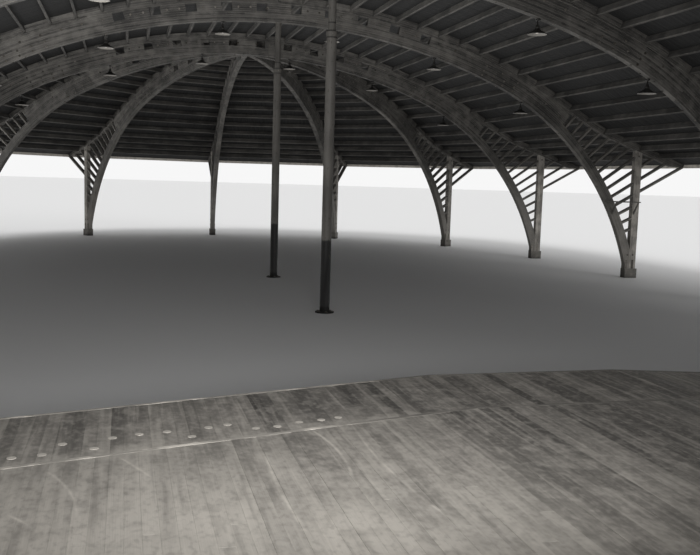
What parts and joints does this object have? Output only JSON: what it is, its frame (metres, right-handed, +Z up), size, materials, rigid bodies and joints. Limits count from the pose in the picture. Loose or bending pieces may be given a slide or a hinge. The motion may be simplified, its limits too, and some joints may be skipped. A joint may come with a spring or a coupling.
{
  "type": "bandstand",
  "caption": "Open timber music pavilion: arched bays between two ribbed half-domes, boarded roof, slatted leg brackets, pipe columns, pendant lamps and a raised stage.",
  "frame": {"origin": "on the ground under the middle of the hall", "axes": "+Y along the hall away from the stage, +X to the right, +Z up"},
  "size_m": [22.331, 38.993, 6.6624],
  "materials": {
    "arch_timber": "dark stained laminated timber",
    "leg_timber": "weathered sawn timber",
    "roof_timber": "dark stained joists",
    "roof_boards": "dark stained boards",
    "eave_paint": "pale painted board",
    "column_steel": "matt paint, dark at the foot",
    "concrete": "dark concrete",
    "lamp_enamel": "enamelled shade",
    "stage_boards": "worn floor boards"
  },
  "bodies": {
    "root": {"arch_1": "arch_timber", "arch_2": "arch_timber", "arch_3": "arch_timber", "arch_4": "arch_timber", "arch_top_1": "arch_timber", "arch_top_2": "arch_timber", "arch_top_3": "arch_timber", "arch_top_4": "arch_timber", "slats_left": "leg_timber", "slats_right": "leg_timber", "posts_left": "leg_timber", "posts_right": "leg_timber", "posts_front": "leg_timber", "posts_back": "leg_timber", "ribs_front": "arch_timber", "ribs_back": "arch_timber", "rib_tops_front": "arch_timber", "rib_tops_back": "arch_timber", "rib_slats_front": "leg_timber", "rib_slats_back": "leg_timber", "plinths_hall": "concrete", "plinths_front": "concrete", "plinths_back": "concrete", "ridge_purlin": "roof_timber", "purlins_left": "roof_timber", "purlins_right": "roof_timber", "purlins_front": "roof_timber", "purlins_back": "roof_timber", "roof_left": "roof_boards", "roof_right": "roof_boards", "roof_front": "roof_boards", "roof_back": "roof_boards", "fascia_left": "eave_paint", "fascia_right": "eave_paint", "fascia_front": "eave_paint", "fascia_back": "eave_paint", "column_1": "column_steel", "column_2": "column_steel", "lamps": "lamp_enamel", "leg_shelf": "leg_timber", "stage_floor": "stage_boards", "stage_apron": "stage_boards", "stage_skirt": "leg_timber", "stage_joists": "roof_timber", "stage_bearers": "roof_timber"}
  },
  "joints": []
}
